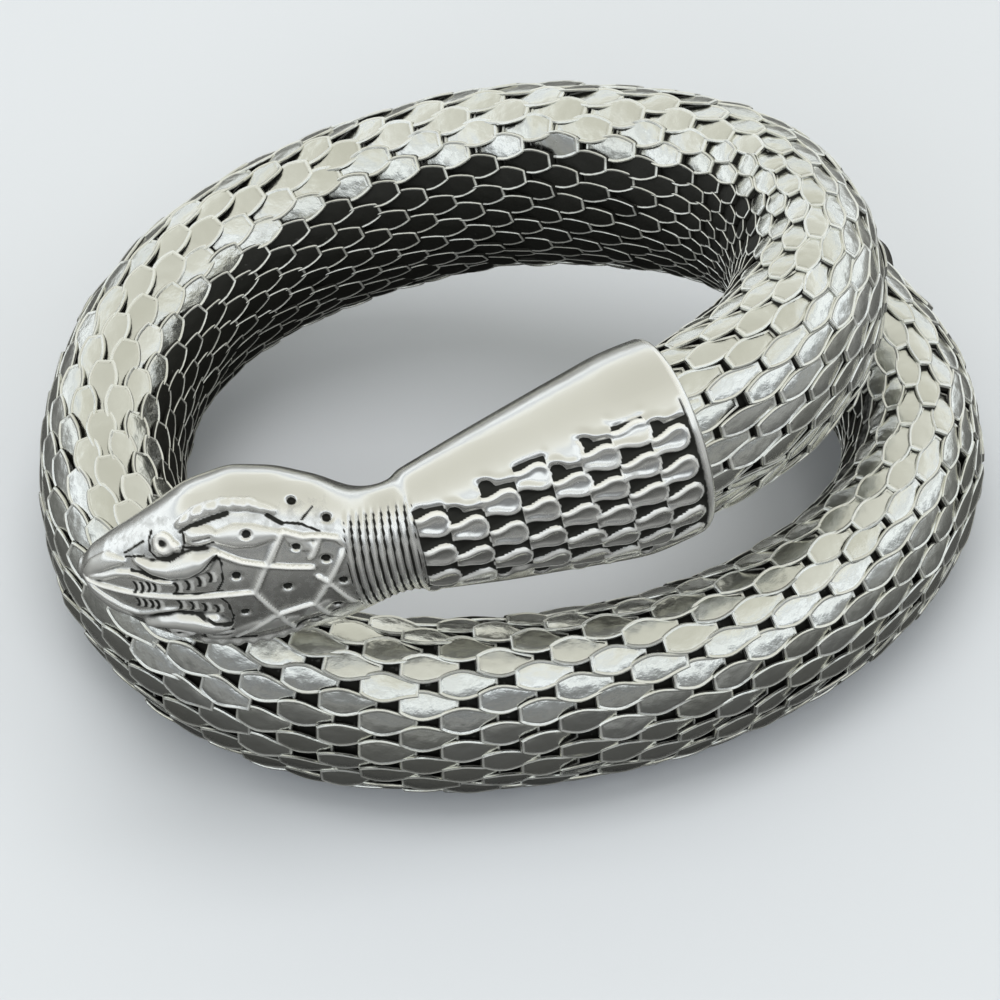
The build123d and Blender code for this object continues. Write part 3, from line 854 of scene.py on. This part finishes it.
cast_silver = silver_material("cast_silver", "oxide", "raised_work", bump=0.15, Clouding=0.15, Silver=CAST_COLOUR)
casting.data.materials.append(cast_silver)
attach(casting, "root")
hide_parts("snake_head")


# --- Tail cap ---
# A plain polished cup, pressed over the tail's end of the mesh and drawn in to a blunt point.
CAP_LONG = 11.5
CAP_WALL = 0.8
CAP_COLUMNS = 72
CAP_ROUNDED = 24
# share of its length, share of the tube's size
CAP = np.array([(0.0, 1.0), (0.42, 0.99), (0.62, 0.9), (0.8, 0.72), (0.92, 0.48), (1.0, 0.16)])
cap_mouth = LENGTHS[np.searchsorted(TURNS, CAP_MOUTH_TURN)]
cap_share = np.concatenate([np.linspace(0, 0.8, 30), np.linspace(0.81, 1.0, 16)])
fine = np.linspace(-0.3, 1.3, 801)
bell = np.exp(-((np.arange(-60, 61) / CAP_ROUNDED) ** 2) / 2)
cap_shape = np.convolve(np.interp(fine, *CAP.T), bell / bell.sum(), mode="same")
cap_shape = np.interp(cap_share, fine, cap_shape + (np.interp(fine, *CAP.T) - cap_shape) * ramp(fine, 0.85, 1.0))
cap_rows = [(2.5, 0.0, 1), (0.6, 0.0, 1)] + [(share * CAP_LONG, size, 0) for share, size in zip(cap_share, cap_shape)]
cap_at, cap_size, cap_inner = np.array(cap_rows).T
cap_size[:2] = 1.0
cap_girth = route_row(turn_at(cap_mouth + cap_at))[2]
grow = 2 * (SEAT_GAP + CAP_WALL) - cap_inner * 2 * CAP_WALL
cap_grid = np.meshgrid(cap_mouth + cap_at, np.linspace(-180, 180, CAP_COLUMNS + 1), indexing="ij")
cap_tall = ((cap_girth * TUBE_TALL + grow) * cap_size)[:, None] * np.ones(CAP_COLUMNS + 1)
cap_deep = ((cap_girth * TUBE_DEEP + grow) * cap_size)[:, None] * np.ones(CAP_COLUMNS + 1)
cap_place = oval_skin(turn_at(cap_grid[0]), cap_grid[1], cap_tall, cap_deep)[0]
cap_place = np.concatenate([cap_place, cap_place[-1:].mean(1, keepdims=True) * np.ones((1, CAP_COLUMNS + 1, 1))])
cap = wrap_grid("tail_cap_cup", CAP_COLUMNS, len(cap_place) - 1, cap_place.reshape(-1, 3))
close_seam(cap)
cap_silver = silver_material("cap_silver", None, bump=0.05, Polish=0.12, Clouding=0.3)
cap.data.materials.append(cap_silver)
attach(cap, "root")
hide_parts("tail_cap")


# --- Floor, light and camera ---
# A plain pale table, a pale ceiling and back wall with a darker room in front, and three soft
# boxes. The camera looks down at the coil from the front.
bpy.ops.object.select_all(action="DESELECT")
bpy.ops.mesh.primitive_plane_add(size=3.0)
floor = bpy.context.object
floor.name = "floor"
FLOOR_COLOUR = (0.62, 0.64, 0.67, 1.0)
# for every ray but the camera's the table is dark, darkest near the coil: painted shade, seen only in the metal's
# reflections
FLOOR_NEAR = 0.05
FLOOR_FAR = 0.22
FLOOR_SHADED = 0.05
FLOOR_OPEN = 0.24
table = bpy.data.materials.new("pale_table")
table.use_nodes = True
nodes, links = table.node_tree.nodes, table.node_tree.links
table_shader = nodes["Principled BSDF"]
table_shader.inputs["Roughness"].default_value = 0.6
seen = nodes.new("ShaderNodeLightPath")
table_place = nodes.new("ShaderNodeTexCoord")
table_reach = nodes.new("ShaderNodeVectorMath")
table_reach.operation = "LENGTH"
links.new(table_place.outputs["Object"], table_reach.inputs[0])
table_fade = nodes.new("ShaderNodeMapRange")
for socket, value in (("From Min", FLOOR_NEAR), ("From Max", FLOOR_FAR),
                      ("To Min", FLOOR_SHADED), ("To Max", FLOOR_OPEN)):
    table_fade.inputs[socket].default_value = value
links.new(table_reach.outputs["Value"], table_fade.inputs["Value"])
table_tone = nodes.new("ShaderNodeMix")
table_tone.data_type = "RGBA"
links.new(table_fade.outputs["Result"], table_tone.inputs["A"])
table_tone.inputs["B"].default_value = FLOOR_COLOUR
links.new(seen.outputs["Is Camera Ray"], table_tone.inputs["Factor"])
links.new(table_tone.outputs["Result"], table_shader.inputs["Base Color"])
floor.data.materials.append(table)

ROOM_UP = (0.0, 0.3, 1.0)
ROOM_RANGE = (-0.4, 1.1)
ROOM_FOOT = (0.14, 0.145, 0.15, 1.0)
ROOM_TOP = (0.66, 0.66, 0.595, 1.0)
# share of the way from the room's foot up to its top, colour there
ROOM_TONES = [(0.20, (0.20, 0.21, 0.22, 1.0)), (0.31, (0.30, 0.32, 0.34, 1.0)), (0.40, (1.16, 1.24, 1.32, 1.0)),
              (0.50, (1.24, 1.29, 1.32, 1.0)), (0.56, (0.40, 0.46, 0.54, 1.0)), (0.62, (1.16, 1.19, 1.17, 1.0)),
              (0.71, (0.80, 0.805, 0.74, 1.0))]
world = bpy.data.worlds.new("studio")
bpy.context.scene.world = world
world.use_nodes = True
nodes, links = world.node_tree.nodes, world.node_tree.links
around = nodes.new("ShaderNodeTexCoord")
facing = nodes.new("ShaderNodeVectorMath")
facing.operation = "DOT_PRODUCT"
facing.inputs[1].default_value = ROOM_UP
links.new(around.outputs["Generated"], facing.inputs[0])
shift = nodes.new("ShaderNodeMapRange")
shift.inputs["From Min"].default_value, shift.inputs["From Max"].default_value = ROOM_RANGE
links.new(facing.outputs["Value"], shift.inputs["Value"])
tones = nodes.new("ShaderNodeValToRGB")
tones.color_ramp.elements[0].position = 0.0
tones.color_ramp.elements[0].color = ROOM_FOOT
tones.color_ramp.elements[1].position = 1.0
tones.color_ramp.elements[1].color = ROOM_TOP
for place, colour in ROOM_TONES:
    tones.color_ramp.elements.new(place).color = colour
links.new(shift.outputs["Result"], tones.inputs["Fac"])
background = nodes["Background"]
links.new(tones.outputs["Color"], background.inputs["Color"])
background.inputs["Strength"].default_value = 1.0

# place, side and power of each soft box
BOXES = [("top_box", (0.0, 0.05, 1.3), 0.8, 7.0), ("side_box", (1.0, -0.15, 0.6), 0.6, 1.0),
         ("front_box", (-0.25, -0.9, 0.75), 0.6, 2.2)]
for name, spot, size, power in BOXES:
    light = bpy.data.lights.new(name, "AREA")
    light.shape = "SQUARE"
    light.size = size
    light.energy = power
    lamp = bpy.data.objects.new(name, light)
    lamp.location = spot
    lamp.rotation_euler = (Vector((0, 0, 0.02)) - Vector(spot)).to_track_quat("-Z", "Y").to_euler()
    lamp.visible_glossy = False
    bpy.context.collection.objects.link(lamp)

CAMERA_RISE = math.radians(50.605)
CAMERA_ROLL = math.radians(-1.897)
CAMERA_AWAY = 576.97
CAMERA_AIM = Vector((-1.082, -7.525, 15.0))
PIXELS_PER_MM = 11.5
FRAME_PIXELS = 1000
back = Vector((0, -math.cos(CAMERA_RISE), math.sin(CAMERA_RISE)))
level = Vector((1, 0, 0))
upright = back.cross(level)
right = level * math.cos(CAMERA_ROLL) + upright * math.sin(CAMERA_ROLL)
up = upright * math.cos(CAMERA_ROLL) - level * math.sin(CAMERA_ROLL)
lens = bpy.data.cameras.new("photo_camera")
lens.sensor_width = 36
lens.lens = lens.sensor_width * PIXELS_PER_MM * CAMERA_AWAY / FRAME_PIXELS
lens.clip_start = 0.01
lens.clip_end = 10
camera = bpy.data.objects.new("photo_camera", lens)
turned = Matrix((right, up, back)).transposed().to_4x4()
camera.matrix_world = Matrix.Translation((CAMERA_AIM + back * CAMERA_AWAY) * MM) @ turned
bpy.context.collection.objects.link(camera)
bpy.context.scene.camera = camera
bpy.context.scene.view_settings.view_transform = "Standard"
